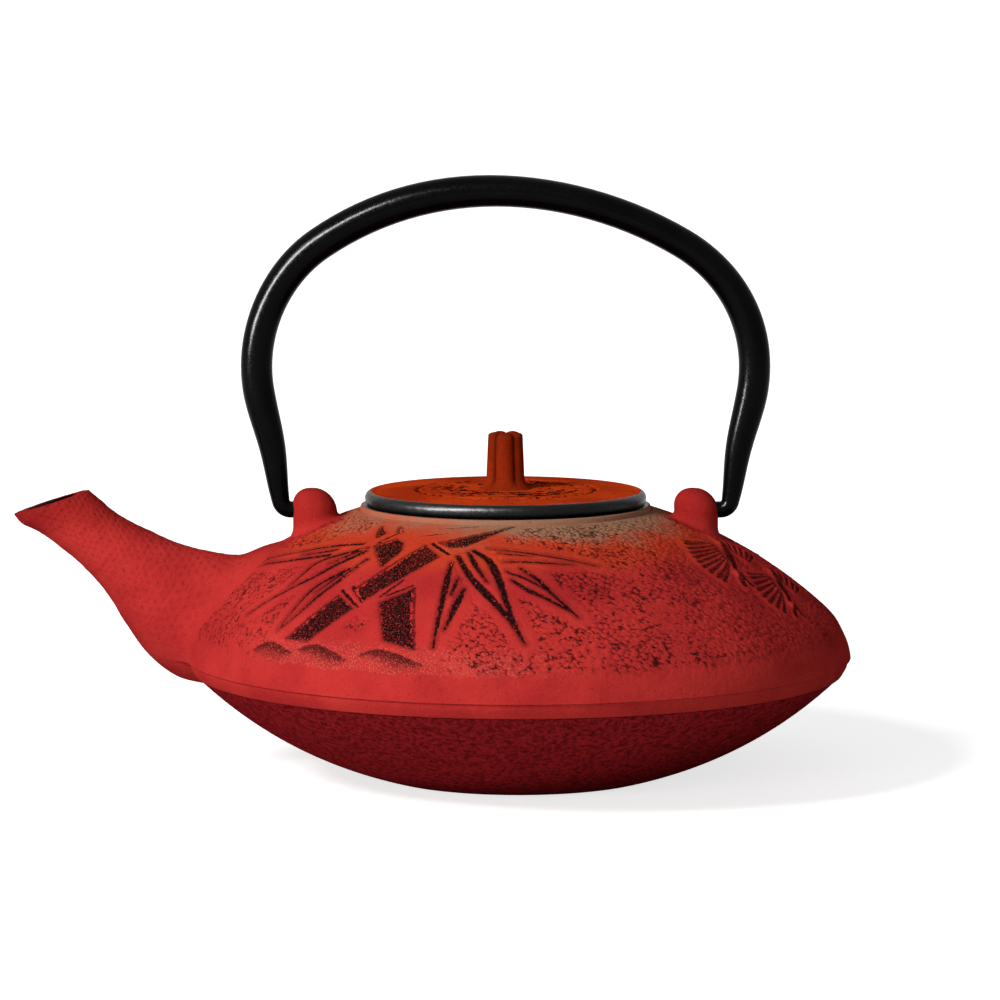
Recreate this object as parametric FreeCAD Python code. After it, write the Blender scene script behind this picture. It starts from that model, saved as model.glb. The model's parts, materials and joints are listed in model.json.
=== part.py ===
import FreeCAD, Part
import math
import os

Vec = FreeCAD.Vector

# All sizes are in millimetres. Z is up, the origin is the centre of the foot and the spout points to -X.

# Casting
belly_radius = 85.0  # widest circle, at the parting line
parting_height = 30.5  # parting line above the table
belly_curve = 20.0  # radius of the bend above the parting line
belly_slope = 84.0  # lean of the wall at the parting line, degrees from level
shoulder_slope = 46.0  # slope where the belly's bend runs into the shoulder, degrees
shoulder_curve = 96.0  # radius of the shoulder
inner_shoulder_curve = 80.0  # smaller inside, so the wall thickens towards the mouth
wall = 3.7
floor_thickness = 4.2
foot_radius = 36.0  # flat underside
bowl_bulge = 3.5  # rise of the bowl's arc over its chord
band_height = 3.9  # smooth band under the parting line
band_slope = 1.4  # how far the band draws in from top to bottom
band_step = 0.5  # step at the top and at the bottom of the band

# Mouth
mouth_offset = 2.8  # mouth, ears, lid and handle stand this far towards the spout from the belly's axis
mouth_bore_radius = 29.6
ledge_width = 2.2  # ledge on which the infuser hangs
ledge_depth = 2.2  # ledge below the lid's seat
seat_width = 5.4  # flat ring on which the lid lies
collar_height = 1.5  # seat above the shoulder
collar_chamfer = 0.6

# Spout: each row is the top line's distance out from the belly and height above the parting line,
# the same two for the under line, and the width
spout_rows = [
    (-33.0, 31.6, -11.0, -8.0, 46.0),
    (-22.4, 29.4, -5.0, -7.4, 40.0),
    (-14.5, 25.5, 2.5, -5.3, 34.0),
    (-6.5, 26.5, 9.5, 0.3, 28.5),
    (1.2, 28.5, 15.0, 8.0, 23.5),
    (8.9, 31.9, 19.8, 15.8, 19.5),
    (16.6, 36.0, 25.6, 22.5, 16.6),
    (23.7, 42.0, 32.4, 28.5, 15.0),
    (34.0, 53.0, 47.0, 34.4, 15.0),
]
spout_wall = 3.0
lip_out = 43.2  # blunt end of the lip, out from the belly
lip_up = 36.3  # its pouring edge above the parting line
lip_rise = 17.7  # slope of the pouring edge, degrees

# Ears
ear_gap = 6.2  # between the collar and an ear
ear_length = 10.8  # along the hinge line
ear_radius = 5.0  # round top about the hinge line
ear_edge = 3.6  # rounding of the ear's two ends
ear_root = 6.0  # depth of the ear's root below the shoulder
ear_hole_depth = 8.8  # blind, from the ear's outer end
hinge_rise = 4.2  # hinge line above the shoulder at the ears

# Handle
peg_radius = 2.1
peg_clearance = 0.25
leg_gap = 0.5  # between an ear and the hook's bend
bend_inside = 0.6  # inner radius of the hook's bend
leg_slope = 12.0  # lean of the legs, degrees from upright
grip_radius = 3.9
arch_side_height = 36.6  # widest point above the hinge line
arch_rise = 44.3  # crown above the widest point
side_curve_share = 0.83  # radius of the arch's two sides, as a share of its rise

# Lid and knob
lid_inset = 1.2  # lid's edge inside the collar's edge
lid_thickness = 2.8
lid_dome = 1.2  # middle of the lid above its edge
groove_radius = 22.8  # ring groove in the lid's top
groove_width = 0.9
groove_depth = 0.5
ring_depth = 5.0  # locating ring under the lid
ring_width = 2.6
knob_height = 14.4
knob_radius = 4.8  # over the lobes
flute_depth = 0.9
knob_lobes = 5
knob_taper = 0.94  # size of the top against the foot
knob_crown = 1.2  # rise of the rounded top
knob_foot_flare = 1.7  # foot beyond the lobes
knob_foot_height = 2.0
boss_margin = 0.6  # flat of the lid beyond the knob's foot
shank_radius = 1.9
washer_radius = 6.0
washer_thickness = 1.0
peen_radius = 2.8
peen_height = 0.9

# Infuser
sheet = 0.7
basket_clearance = 0.35  # around the flange and the basket
ring_clearance = 0.6  # between the lid's ring and the collar
infuser_depth = 42.0  # from the ledge to the underside of the basket
collar_band = 9.0  # plain part of the collar below the ledge
base_band = 5.0  # upturned edge of the base
mesh_lap = 3.0  # length of mesh held inside the collar


def polar(centre, radius, degrees):
    turn = math.radians(degrees)
    return (centre[0] + radius * math.sin(turn), centre[1] + radius * math.cos(turn))


def line(a, b):
    return Part.makeLine(Vec(a[0], 0, a[1]), Vec(b[0], 0, b[1]))


def arc(a, b, c):
    return Part.Arc(Vec(a[0], 0, a[1]), Vec(b[0], 0, b[1]), Vec(c[0], 0, c[1])).toShape()


def bulged(a, b, bulge):
    # arc from a to b, standing out to the right of its chord
    run = b[0] - a[0]
    rise = b[1] - a[1]
    chord = math.hypot(run, rise)
    middle = ((a[0] + b[0]) / 2 + bulge * rise / chord, (a[1] + b[1]) / 2 - bulge * run / chord)
    return arc(a, middle, b)


def turned(edges):
    face = Part.Face(Part.Wire(edges))
    return face.revolve(Vec(0, 0, 0), Vec(0, 0, 1), 360)


def turned_outline(points):
    return turned([line(points[i - 1], points[i]) for i in range(len(points))])


def tube(inner, outer, low, high):
    return turned_outline([(inner, low), (outer, low), (outer, high), (inner, high)])


# Curves of the casting, as (radius, height) points
belly_centre = polar((belly_radius, parting_height), -belly_curve, belly_slope)
outer_break = polar(belly_centre, belly_curve, shoulder_slope)
shoulder_centre = polar(outer_break, -shoulder_curve, shoulder_slope)
inner_break = polar(belly_centre, belly_curve - wall, shoulder_slope)
inner_centre = polar(inner_break, -inner_shoulder_curve, shoulder_slope)


def shoulder_height(radius):
    return shoulder_centre[1] + math.sqrt(shoulder_curve ** 2 - (radius - shoulder_centre[0]) ** 2)


def inner_height(radius):
    return inner_centre[1] + math.sqrt(inner_shoulder_curve ** 2 - (radius - inner_centre[0]) ** 2)


# Sizes that follow
ledge_radius = mouth_bore_radius + ledge_width
collar_radius = ledge_radius + seat_width
seat_height = shoulder_height(collar_radius) + collar_height
ledge_height = seat_height - ledge_depth
ear_reach = collar_radius + ear_gap + ear_length / 2
hinge_height = shoulder_height(ear_reach) + hinge_rise
ear_hole_radius = peg_radius + peg_clearance
ear_end = ear_reach + ear_length / 2
peg_length = ear_hole_depth + leg_gap - peg_radius - 2 * peg_clearance
lid_radius = collar_radius - lid_inset
lid_top = seat_height + lid_thickness + lid_dome
knob_foot_radius = knob_radius + knob_foot_flare
basket_radius = mouth_bore_radius - basket_clearance
basket_low = ledge_height - infuser_depth


def casting_outside():
    band_top = (belly_radius - band_step, parting_height)
    band_low = (belly_radius - band_step - band_slope, parting_height - band_height)
    bowl_top = (band_low[0] - band_step, band_low[1])
    belly_edge = (belly_radius, parting_height)
    belly_middle = polar(belly_centre, belly_curve, (belly_slope + shoulder_slope) / 2)
    # the shoulder ends inside the collar, below its seat
    top_radius = collar_radius - 2 * mouth_offset
    top = (top_radius, shoulder_height(top_radius))
    middle_radius = (outer_break[0] + top_radius) / 2
    shoulder_middle = (middle_radius, shoulder_height(middle_radius))
    return turned([
        line((0, 0), (foot_radius, 0)),
        bulged((foot_radius, 0), bowl_top, bowl_bulge),
        line(bowl_top, band_low),
        line(band_low, band_top),
        line(band_top, belly_edge),
        arc(belly_edge, belly_middle, outer_break),
        arc(outer_break, shoulder_middle, top),
        line(top, (0, top[1])),
        line((0, top[1]), (0, 0)),
    ])


def casting_hollow():
    floor_edge = (foot_radius, floor_thickness)
    belly_low = polar(belly_centre, belly_curve - wall, belly_slope)
    belly_middle = polar(belly_centre, belly_curve - wall, (belly_slope + shoulder_slope) / 2)
    # the hollow ends inside the mouth's bore
    neck_radius = mouth_bore_radius - 2 * mouth_offset
    neck = (neck_radius, inner_height(neck_radius))
    middle_radius = (inner_break[0] + neck_radius) / 2
    shoulder_middle = (middle_radius, inner_height(middle_radius))
    return turned([
        line((0, floor_thickness), floor_edge),
        bulged(floor_edge, belly_low, bowl_bulge),
        arc(belly_low, belly_middle, inner_break),
        arc(inner_break, shoulder_middle, neck),
        line(neck, (0, neck[1])),
        line((0, neck[1]), (0, floor_thickness)),
    ])


def collar_outside():
    return turned_outline([
        (0, ledge_height - wall),
        (collar_radius, ledge_height - wall),
        (collar_radius, seat_height - collar_chamfer),
        (collar_radius - collar_chamfer, seat_height),
        (0, seat_height),
    ])


def mouth_hollow():
    low = inner_height(mouth_bore_radius) - wall
    above = seat_height + ledge_depth
    # nothing of the casting stands above the seat
    return turned_outline([
        (0, low),
        (mouth_bore_radius, low),
        (mouth_bore_radius, ledge_height),
        (ledge_radius, ledge_height),
        (ledge_radius, seat_height),
        (collar_radius, seat_height),
        (collar_radius, above),
        (0, above),
    ])


def over_mouth(shape):
    shape.translate(Vec(-mouth_offset, 0, 0))
    return shape


def spout_ring(row, inset):
    # closed curve across the spout, drawn in by the wall for the channel
    top = Vec(-belly_radius - row[0], 0, parting_height + row[1])
    under = Vec(-belly_radius - row[2], 0, parting_height + row[3])
    middle = (top + under) * 0.5
    tall = (top - under).Length / 2 - inset
    wide = row[4] / 2 - inset
    up = (top - under).normalize()
    points = []
    for step in range(8):
        turn = math.radians(45 * step)
        points.append(middle + Vec(0, wide * math.cos(turn), 0) + up * (tall * math.sin(turn)))
    ring = Part.BSplineCurve()
    ring.interpolate(Points=points, PeriodicFlag=True)
    return Part.Wire([ring.toShape()])


def spout_outside():
    spout = Part.makeLoft([spout_ring(row, 0) for row in spout_rows], True, False)
    # one block trims the loft to the slope of the pouring edge, one ends the lip
    size = belly_radius * 2
    block = Part.makeBox(size, size, size, Vec(-size / 4, -size / 2, 0))
    block.rotate(Vec(0, 0, 0), Vec(0, 1, 0), -lip_rise)
    block.translate(Vec(-belly_radius - lip_out, 0, parting_height + lip_up))
    beyond = Part.makeBox(size, size, size, Vec(-belly_radius - lip_out - size, -size / 2, 0))
    return spout.cut(block).cut(beyond)


def spout_channel():
    return Part.makeLoft([spout_ring(row, spout_wall) for row in spout_rows], True, False)


def ear(side):
    # lug with a round top about the hinge line and rounded ends
    low = -hinge_rise - ear_root
    outline = [
        Part.makeLine(Vec(0, -ear_radius, low), Vec(0, -ear_radius, 0)),
        Part.Arc(Vec(0, -ear_radius, 0), Vec(0, 0, ear_radius), Vec(0, ear_radius, 0)).toShape(),
        Part.makeLine(Vec(0, ear_radius, 0), Vec(0, ear_radius, low)),
        Part.makeLine(Vec(0, ear_radius, low), Vec(0, -ear_radius, low)),
    ]
    lug = Part.Face(Part.Wire(outline)).extrude(Vec(ear_length, 0, 0))
    rims = []
    for edge in lug.Edges:
        if edge.BoundBox.XLength < 0.001 and edge.BoundBox.ZMax > low + 0.001:
            rims.append(edge)
    lug = lug.makeFillet(ear_edge, rims)
    lug.translate(Vec(side * ear_reach - ear_length / 2, 0, hinge_height))
    return lug


def make_pot_body():
    lugs = [over_mouth(ear(-1)), over_mouth(ear(1))]
    outside = casting_outside().multiFuse([over_mouth(collar_outside()), spout_outside()] + lugs)
    hollow = casting_hollow().multiFuse([over_mouth(mouth_hollow()), spout_channel()])
    body = outside.cut(hollow)
    for side in (-1, 1):
        start = Vec(side * (ear_end - ear_hole_depth), 0, hinge_height)
        hole = Part.makeCylinder(ear_hole_radius, ear_length, start, Vec(side, 0, 0))
        body = body.cut(over_mouth(hole))
    return body.removeSplitter()


def ring_at(point, direction, radius):
    return Part.Wire([Part.makeCircle(radius, Vec(point[0], 0, point[1]), direction)])


def make_handle():
    # middle line of the right half, as (x, height above the hinge line), built up from the peg
    lean_out = math.sin(math.radians(leg_slope))
    lean_up = math.cos(math.radians(leg_slope))
    bend_radius = peg_radius + bend_inside
    bend_end = (ear_end + leg_gap, 0.0)
    bend_centre = (bend_end[0], bend_radius)
    bend_middle = polar(bend_centre, bend_radius, 90 + (90 + leg_slope) / 2)
    bend_top = polar(bend_centre, bend_radius, 90 + leg_slope)
    side_radius = arch_rise * side_curve_share
    leg_top_up = arch_side_height - side_radius * lean_out
    leg_length = (leg_top_up - bend_top[1]) / lean_up
    leg_top = (bend_top[0] + leg_length * lean_out, leg_top_up)
    side_centre = (leg_top[0] - side_radius * lean_up, arch_side_height)
    crown_radius = (side_centre[0] ** 2 + arch_rise ** 2 - side_radius ** 2) / (2 * (arch_rise - side_radius))
    crown_centre = (0.0, arch_side_height + arch_rise - crown_radius)
    meet = math.degrees(math.atan2(side_centre[0], arch_side_height - crown_centre[1]))
    join = polar(crown_centre, crown_radius, meet)
    flank = polar(side_centre, side_radius, (meet + 90 + leg_slope) / 2)
    crown = (0.0, arch_side_height + arch_rise)

    grip_path = Part.Wire([
        arc((-leg_top[0], leg_top[1]), (-flank[0], flank[1]), (-join[0], join[1])),
        arc((-join[0], join[1]), crown, join),
        arc(join, flank, leg_top),
    ])
    start_ring = ring_at((-leg_top[0], leg_top[1]), Vec(-lean_out, 0, lean_up), grip_radius)
    grip = grip_path.makePipeShell([start_ring], True, True)

    down = Vec(-lean_out, 0, -lean_up)
    leg = Part.makeCone(grip_radius, peg_radius, leg_length, Vec(leg_top[0], 0, leg_top[1]), down)
    bend_path = Part.Wire([arc(bend_top, bend_middle, bend_end)])
    bend = bend_path.makePipeShell([ring_at(bend_top, down, peg_radius)], True, True)
    peg = Part.makeCylinder(peg_radius, peg_length, Vec(bend_end[0], 0, 0), Vec(-1, 0, 0))
    tip = Part.makeSphere(peg_radius, Vec(bend_end[0] - peg_length, 0, 0))
    right = leg.multiFuse([bend, peg, tip])
    left = right.mirror(Vec(0, 0, 0), Vec(1, 0, 0))
    handle = grip.multiFuse([right, left])
    handle.translate(Vec(0, 0, hinge_height))
    return handle.removeSplitter()


def make_lid():
    bead = lid_thickness / 2
    edge_low = (lid_radius - bead, seat_height)
    edge_out = (lid_radius, seat_height + bead)
    edge_top = (lid_radius - bead, seat_height + lid_thickness)
    boss = (knob_foot_radius + boss_margin, lid_top)
    ring_outer = basket_radius - sheet - ring_clearance
    ring_inner = ring_outer - ring_width
    ring_low = seat_height - ring_depth
    lid = turned([
        line((shank_radius, seat_height), (ring_inner, seat_height)),
        line((ring_inner, seat_height), (ring_inner, ring_low)),
        line((ring_inner, ring_low), (ring_outer, ring_low)),
        line((ring_outer, ring_low), (ring_outer, seat_height)),
        line((ring_outer, seat_height), edge_low),
        arc(edge_low, edge_out, edge_top),
        bulged(edge_top, boss, lid_dome / 5),
        line(boss, (shank_radius, lid_top)),
        line((shank_radius, lid_top), (shank_radius, seat_height)),
    ])
    groove_top = lid_top + groove_depth
    groove_low = seat_height + lid_thickness - groove_depth + lid_dome / 2
    return lid.cut(tube(groove_radius - groove_width / 2, groove_radius + groove_width / 2, groove_low, groove_top))


def lobed_wire(scale, height):
    valley = (knob_radius - flute_depth) * scale
    crest = knob_radius * scale
    step = 2 * math.pi / knob_lobes

    def at(radius, turn):
        return Vec(radius * math.cos(turn), radius * math.sin(turn), height)

    edges = []
    for lobe in range(knob_lobes):
        turn = lobe * step
        edges.append(Part.Arc(at(valley, turn), at(crest, turn + step / 2), at(valley, turn + step)).toShape())
    return Part.Wire(edges)


def make_lid_knob():
    top = lid_top + knob_height
    post = Part.makeLoft([lobed_wire(1.0, lid_top), lobed_wire(knob_taper, top)], True, True)
    rounding = turned([
        line((0, lid_top), (knob_foot_radius, lid_top)),
        line((knob_foot_radius, lid_top), (knob_foot_radius, top - 3 * knob_crown)),
        bulged((knob_foot_radius, top - 3 * knob_crown), (0, top), knob_crown),
        line((0, top), (0, lid_top)),
    ])
    foot_rim = (knob_foot_radius, lid_top + knob_foot_height / 4)
    foot_neck = (knob_radius - flute_depth, lid_top + knob_foot_height)
    foot = turned([
        line((0, lid_top), (knob_foot_radius, lid_top)),
        line((knob_foot_radius, lid_top), foot_rim),
        bulged(foot_rim, foot_neck, -knob_foot_height / 6),
        line(foot_neck, (0, foot_neck[1])),
        line((0, foot_neck[1]), (0, lid_top)),
    ])
    shank_low = seat_height - washer_thickness - peen_height
    shank = Part.makeCylinder(shank_radius, lid_top - shank_low, Vec(0, 0, shank_low))
    peen = Part.makeCylinder(peen_radius, peen_height, Vec(0, 0, shank_low))
    return post.common(rounding).multiFuse([foot, shank, peen]).removeSplitter()


def make_knob_washer():
    return tube(shank_radius, washer_radius, seat_height - washer_thickness, seat_height)


def make_infuser_rim():
    flange_radius = ledge_radius - basket_clearance
    inner = basket_radius - sheet
    low = ledge_height - collar_band
    return turned_outline([
        (inner, low),
        (basket_radius, low),
        (basket_radius, ledge_height),
        (flange_radius, ledge_height),
        (flange_radius, ledge_height + sheet),
        (inner, ledge_height + sheet),
    ])


def make_infuser_mesh():
    outer = basket_radius - sheet
    high = ledge_height - collar_band + mesh_lap
    return tube(outer - sheet, outer, basket_low + sheet, high)


def make_infuser_base():
    inner = basket_radius - sheet
    return turned_outline([
        (0, basket_low),
        (basket_radius, basket_low),
        (basket_radius, basket_low + base_band),
        (inner, basket_low + base_band),
        (inner, basket_low + sheet),
        (0, basket_low + sheet),
    ])


def write_step(name, shape):
    shape.exportStep("parts/" + name + ".step")
    print(name, shape.isValid(), len(shape.Solids), "solids", round(shape.Volume, 1), "mm3")


os.makedirs("parts", exist_ok=True)
write_step("pot_body", make_pot_body())
write_step("handle", over_mouth(make_handle()))
write_step("lid", over_mouth(make_lid()))
write_step("lid_knob", over_mouth(make_lid_knob()))
write_step("knob_washer", over_mouth(make_knob_washer()))
write_step("infuser_rim", over_mouth(make_infuser_rim()))
write_step("infuser_mesh", over_mouth(make_infuser_mesh()))
write_step("infuser_base", over_mouth(make_infuser_base()))
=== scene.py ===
import json
import math

import bmesh
import bpy
import numpy as np
from mathutils import Matrix, Quaternion, Vector, noise
from mathutils.bvhtree import BVHTree


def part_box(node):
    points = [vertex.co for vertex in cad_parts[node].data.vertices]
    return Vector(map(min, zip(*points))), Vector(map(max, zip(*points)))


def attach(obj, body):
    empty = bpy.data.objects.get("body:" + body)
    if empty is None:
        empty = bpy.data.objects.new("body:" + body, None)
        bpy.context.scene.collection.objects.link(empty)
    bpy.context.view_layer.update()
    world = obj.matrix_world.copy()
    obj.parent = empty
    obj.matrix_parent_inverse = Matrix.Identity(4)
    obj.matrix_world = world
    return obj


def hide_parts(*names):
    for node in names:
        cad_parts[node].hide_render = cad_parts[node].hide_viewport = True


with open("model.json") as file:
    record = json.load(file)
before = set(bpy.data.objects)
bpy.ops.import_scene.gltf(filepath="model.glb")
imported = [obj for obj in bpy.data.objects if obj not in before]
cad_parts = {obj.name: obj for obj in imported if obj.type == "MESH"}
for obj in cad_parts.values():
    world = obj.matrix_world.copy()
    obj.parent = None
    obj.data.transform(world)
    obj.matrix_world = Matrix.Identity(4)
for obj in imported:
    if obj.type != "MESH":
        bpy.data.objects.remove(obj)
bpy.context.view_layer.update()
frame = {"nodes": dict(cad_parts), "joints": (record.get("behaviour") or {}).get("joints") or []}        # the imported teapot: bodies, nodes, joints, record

scene = bpy.context.scene
mm = 0.001
noise.seed_set(7)  # else the noise vectors change from run to run

# Places that the frame gives, in millimetres
lidLow, lidHigh = (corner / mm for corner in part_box("lid"))
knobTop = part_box("lid_knob")[1].z / mm
mouthX = (lidLow.x + lidHigh.x) / 2  # the mouth, the lid and the ears stand a little towards the spout
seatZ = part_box("knob_washer")[1].z / mm  # flat on which the lid lies
hingeZ = frame["joints"][0]["pos_m"][2] / mm


def srgb(red, green, blue):
    def linear(level):
        share = level / 255
        return share / 12.92 if share <= 0.04045 else ((share + 0.055) / 1.055) ** 2.4
    return (linear(red), linear(green), linear(blue), 1.0)


def smooth(low, high, value):
    share = np.clip((value - low) / (high - low), 0.0, 1.0)
    return share * share * (3 - 2 * share)


def polar(centre, radius, degrees):
    turn = math.radians(degrees)
    return (centre[0] + radius * math.sin(turn), centre[1] + radius * math.cos(turn))


def arcPoints(centre, radius, start, end, count):
    return [polar(centre, radius, start + (end - start) * i / count) for i in range(count + 1)]


def bulgedPoints(a, b, bulge, count):
    # arc from a to b that stands out to the right of its chord
    run, rise = b[0] - a[0], b[1] - a[1]
    chord = math.hypot(run, rise)
    points = []
    for i in range(count + 1):
        t = i / count
        lift = 4 * bulge * t * (1 - t)
        points.append((a[0] + run * t + lift * rise / chord, a[1] + rise * t - lift * run / chord))
    return points


def softPoint(rows, i, t):
    # place on a smooth run through rows of numbers, a share t of the way past row i
    before, here, there, after = (rows[min(max(k, 0), len(rows) - 1)] for k in (i - 1, i, i + 1, i + 2))
    return 0.5 * (2 * here + (there - before) * t + (2 * before - 5 * here + 4 * there - after) * t ** 2
                  + (3 * here - before - 3 * there + after) * t ** 3)


def joinRings(bm, rings):
    # faces from ring to ring, and both ends closed
    loops = [{edge for vert in ring for edge in vert.link_edges} for ring in rings]
    for first, second in zip(loops, loops[1:]):
        bmesh.ops.bridge_loops(bm, edges=list(first | second))
    bmesh.ops.holes_fill(bm, edges=bm.edges, sides=0)
    bmesh.ops.recalc_face_normals(bm, faces=bm.faces)
    return bm


def meshOf(bm, name):
    mesh = bpy.data.meshes.new(name)
    bm.to_mesh(mesh)
    bm.free()
    return mesh


def addMesh(bm, other):
    # moves another mesh into this one
    mesh = meshOf(other, "moved")
    bm.from_mesh(mesh)
    bpy.data.meshes.remove(mesh)


def spun(profile, centreX=0.0, steps=192, closed=False):
    # turns an outline of (radius, height) points once round an upright axis
    bm = bmesh.new()
    verts = [bm.verts.new(((centreX + r) * mm, 0, z * mm)) for r, z in profile]
    edges = [bm.edges.new(pair) for pair in zip(verts, verts[1:])]
    if closed:
        edges.append(bm.edges.new((verts[-1], verts[0])))
    bmesh.ops.spin(bm, geom=verts + edges, cent=(centreX * mm, 0, 0), axis=(0, 0, 1),
                   angle=2 * math.pi, steps=steps, use_merge=True)
    bmesh.ops.remove_doubles(bm, verts=bm.verts, dist=0.002 * mm)
    bmesh.ops.recalc_face_normals(bm, faces=bm.faces)
    return bm


def makePiece(name, bm, materials, body, replaced=(), sharp=38):
    for edge in bm.edges:
        if len(edge.link_faces) == 2 and edge.calc_face_angle(0) > math.radians(sharp):
            edge.smooth = False
    for face in bm.faces:
        face.smooth = True
    mesh = meshOf(bm, name)
    for material in materials:
        mesh.materials.append(material)
    piece = bpy.data.objects.new(name, mesh)
    scene.collection.objects.link(piece)
    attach(piece, body)
    if replaced:
        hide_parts(*replaced)
    print("made", name, len(mesh.polygons), "faces")
    return piece


# Shader helpers

def setInputs(tree, node, **inputs):
    # links or constants for a node's inputs, by name or as i and a number
    for key, value in inputs.items():
        numbered = key[0] == "i" and key[1:].isdigit()
        socket = node.inputs[int(key[1:]) if numbered else key.replace("_", " ")]
        if isinstance(value, bpy.types.NodeSocket):
            tree.links.new(value, socket)
        else:
            socket.default_value = value


def addNode(tree, kind, settings=None, **inputs):
    node = tree.nodes.new("ShaderNode" + kind)
    for key, value in (settings or {}).items():
        setattr(node, key, value)
    setInputs(tree, node, **inputs)
    return node


def startMaterial(name):
    material = bpy.data.materials.new(name)
    material.use_nodes = True
    tree = material.node_tree
    return material, tree, tree.nodes["Principled BSDF"]


def group(name, inputs, outputs):
    # empty node group with named sockets, returns the tree and its two ends
    tree = bpy.data.node_groups.new(name, "ShaderNodeTree")
    for label, kind in inputs:
        tree.interface.new_socket(label, in_out="INPUT", socket_type="NodeSocket" + kind)
    for label, kind in outputs:
        tree.interface.new_socket(label, in_out="OUTPUT", socket_type="NodeSocket" + kind)
    return tree, tree.nodes.new("NodeGroupInput"), tree.nodes.new("NodeGroupOutput")


def ramp(tree, value, low, high, first=0.0, last=1.0):
    return addNode(tree, "MapRange", {"interpolation_type": "SMOOTHSTEP"}, Value=value, From_Min=low, From_Max=high,
                   To_Min=first, To_Max=last).outputs["Result"]


def mixed(tree, share, first, second):
    return addNode(tree, "Mix", {"data_type": "RGBA"}, i0=share, i6=first, i7=second).outputs[2]


def sums(tree, kind, first, second):
    return addNode(tree, "Math", {"operation": kind}, i0=first, i1=second).outputs[0]


def times(tree, first, second):
    return sums(tree, "MULTIPLY", first, second)


def attribute(tree, name):
    return addNode(tree, "Attribute", {"attribute_name": name}).outputs["Fac"]


def part(tree, place, axis):
    return addNode(tree, "SeparateXYZ", None, Vector=place).outputs[axis]


def fromMouth(tree, place):
    # offset from the mouth's axis, and how far out that is
    offset = addNode(tree, "VectorMath", {"operation": "SUBTRACT"}, i0=place, i1=(mouthX * mm, 0, 0)).outputs[0]
    flat = addNode(tree, "VectorMath", {"operation": "MULTIPLY"}, i0=offset, i1=(1, 1, 0)).outputs[0]
    return offset, addNode(tree, "VectorMath", {"operation": "LENGTH"}, i0=flat).outputs["Value"]


def noiseAt(tree, place, scale, detail=3.0, rough=0.55):
    return addNode(tree, "TexNoise", {"noise_dimensions": "3D"}, Vector=place, Scale=scale, Detail=detail,
                   Roughness=rough).outputs["Fac"]


def castGrain():
    # cast grain in three sizes, and a height for bump
    outputs = [("Dust", "Float"), ("Specks", "Float"), ("Mottle", "Float"), ("Height", "Float")]
    tree, start, end = group("cast_grain", [("Place", "Vector")], outputs)
    place = start.outputs["Place"]
    dust = noiseAt(tree, place, 2600.0, 3.0, 0.6)
    specks = noiseAt(tree, place, 1400.0, 4.0, 0.65)
    middle = noiseAt(tree, place, 420.0, 3.0)
    setInputs(tree, end, Dust=dust, Specks=specks, Mottle=noiseAt(tree, place, 55.0, 4.0),
              Height=sums(tree, "ADD", specks, times(tree, middle, 1.6)))
    return tree


grainGroup = castGrain()


def useGroup(tree, shared, place):
    node = tree.nodes.new("ShaderNodeGroup")
    node.node_tree = shared
    tree.links.new(place, node.inputs["Place"])
    return node.outputs


def startIron(name):
    # material with the cast grain placed in it
    material, tree, shader = startMaterial(name)
    place = addNode(tree, "TexCoord").outputs["Object"]
    return material, tree, shader, place, useGroup(tree, grainGroup, place)


def bumped(tree, shader, height, strength, distance):
    bump = addNode(tree, "Bump", None, Strength=strength, Distance=distance, Height=height)
    setInputs(tree, shader, Normal=bump.outputs["Normal"])


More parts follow.
